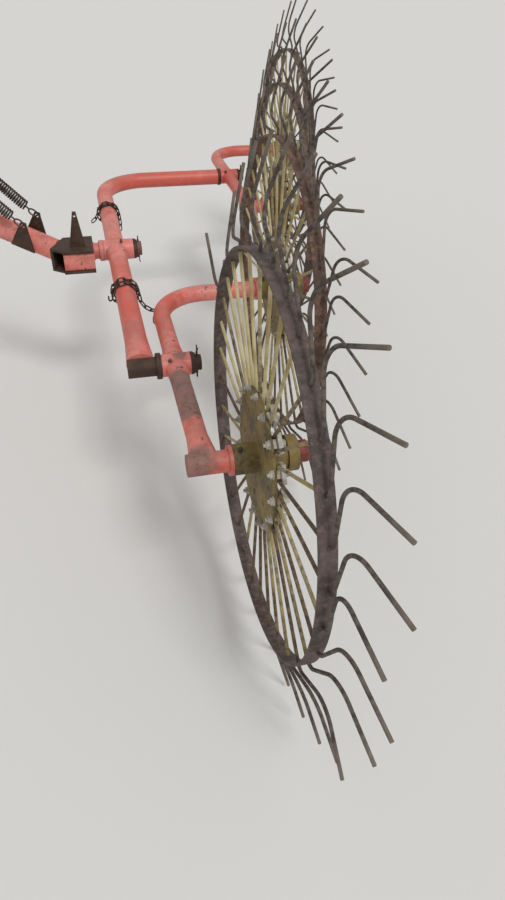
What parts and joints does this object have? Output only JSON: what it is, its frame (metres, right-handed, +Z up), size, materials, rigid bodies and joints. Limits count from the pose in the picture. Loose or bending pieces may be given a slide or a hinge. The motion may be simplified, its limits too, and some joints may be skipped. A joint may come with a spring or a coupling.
{
  "type": "wheel hay rake",
  "caption": "Mounted finger-wheel hay rake with ground-driven tined wheels on rocking arms, a sprung boom and a three-point headstock.",
  "frame": {"origin": "middle of the top-link clevis on the headstock, on the axis of its bore", "axes": "+X along the wheel axles, away from the headstock; +Y the way the wheels roll, from the first wheel to the last; +Z up"},
  "size_m": [2.191, 3.5344, 1.369],
  "materials": {
    "coral_paint": "worn satin",
    "rim_rust": "rusted matt",
    "hub_straw": "worn matt",
    "clamp_silver": "dull",
    "worn_steel": "worn",
    "dark_rust": "rusted matt"
  },
  "bodies": {
    "headstock": {"mast": "coral_paint", "spring_bar": "coral_paint", "cross_tube": "coral_paint", "braces": "coral_paint", "top_ears": "coral_paint", "link_pins": "worn_steel", "leg_sleeves": "coral_paint", "hinge_cheeks": "coral_paint", "hinge_pin": "worn_steel", "springs": "worn_steel"},
    "left_leg": {"left_parking_leg": "worn_steel"},
    "right_leg": {"right_parking_leg": "worn_steel"},
    "boom": {"boom": "coral_paint", "spring_ears": "dark_rust", "knuckle": "dark_rust", "hook_fin": "dark_rust", "main_pivot_stub": "coral_paint", "main_pivot_washers": "dark_rust"},
    "beam": {"beam": "coral_paint", "beam_front_pin": "dark_rust", "front_pivot_washers": "dark_rust", "beam_rear_pin": "dark_rust", "rear_pivot_washers": "dark_rust"},
    "front_rocker": {"front_rocker": "coral_paint", "wheel1_axle": "worn_steel", "wheel2_axle": "worn_steel"},
    "rear_rocker": {"rear_rocker": "coral_paint", "wheel3_axle": "worn_steel", "wheel4_axle": "worn_steel"},
    "wheel1": {"wheel1_tines": "rim_rust", "wheel1_hub": "hub_straw", "wheel1_clamps": "clamp_silver"},
    "wheel2": {"wheel2_tines": "rim_rust", "wheel2_hub": "hub_straw", "wheel2_clamps": "clamp_silver"},
    "wheel3": {"wheel3_tines": "rim_rust", "wheel3_hub": "hub_straw", "wheel3_clamps": "clamp_silver"},
    "wheel4": {"wheel4_tines": "rim_rust", "wheel4_hub": "hub_straw", "wheel4_clamps": "clamp_silver"}
  },
  "joints": [
    {"name": "left_leg_slide", "type": "slide", "parent": "headstock", "child": "left_leg", "axis": [0, 0, 1], "range_m": [0, 0.3]},
    {"name": "right_leg_slide", "type": "slide", "parent": "headstock", "child": "right_leg", "axis": [0, 0, 1], "range_m": [0, 0.3]},
    {"name": "boom_lift", "type": "hinge", "parent": "headstock", "child": "boom", "pos_m": [0.1586, -0.07396, -0.11558], "axis": [-0.4226, -0.9063, 0], "range_deg": [-12, 20], "deforming": ["springs"]},
    {"name": "beam_rock", "type": "hinge", "parent": "boom", "child": "beam", "pos_m": [1.01956, -0.39551, -0.36279], "axis": [1, 0, 0], "range_deg": [-10, 10]},
    {"name": "front_rock", "type": "hinge", "parent": "beam", "child": "front_rocker", "pos_m": [1.10456, -1.16551, -0.36279], "axis": [1, 0, 0], "range_deg": [-12, 12]},
    {"name": "rear_rock", "type": "hinge", "parent": "beam", "child": "rear_rocker", "pos_m": [1.56256, 0.34449, -0.36279], "axis": [1, 0, 0], "range_deg": [-12, 12]},
    {"name": "wheel1_turn", "type": "hinge", "parent": "front_rocker", "child": "wheel1", "pos_m": [1.22256, -1.56551, -0.36279], "axis": [1, 0, 0], "continuous": true},
    {"name": "wheel2_turn", "type": "hinge", "parent": "front_rocker", "child": "wheel2", "pos_m": [1.47256, -0.77551, -0.36279], "axis": [1, 0, 0], "continuous": true},
    {"name": "wheel3_turn", "type": "hinge", "parent": "rear_rocker", "child": "wheel3", "pos_m": [1.68056, -0.05551, -0.36279], "axis": [1, 0, 0], "continuous": true},
    {"name": "wheel4_turn", "type": "hinge", "parent": "rear_rocker", "child": "wheel4", "pos_m": [1.93056, 0.73449, -0.36279], "axis": [1, 0, 0], "continuous": true}
  ]
}
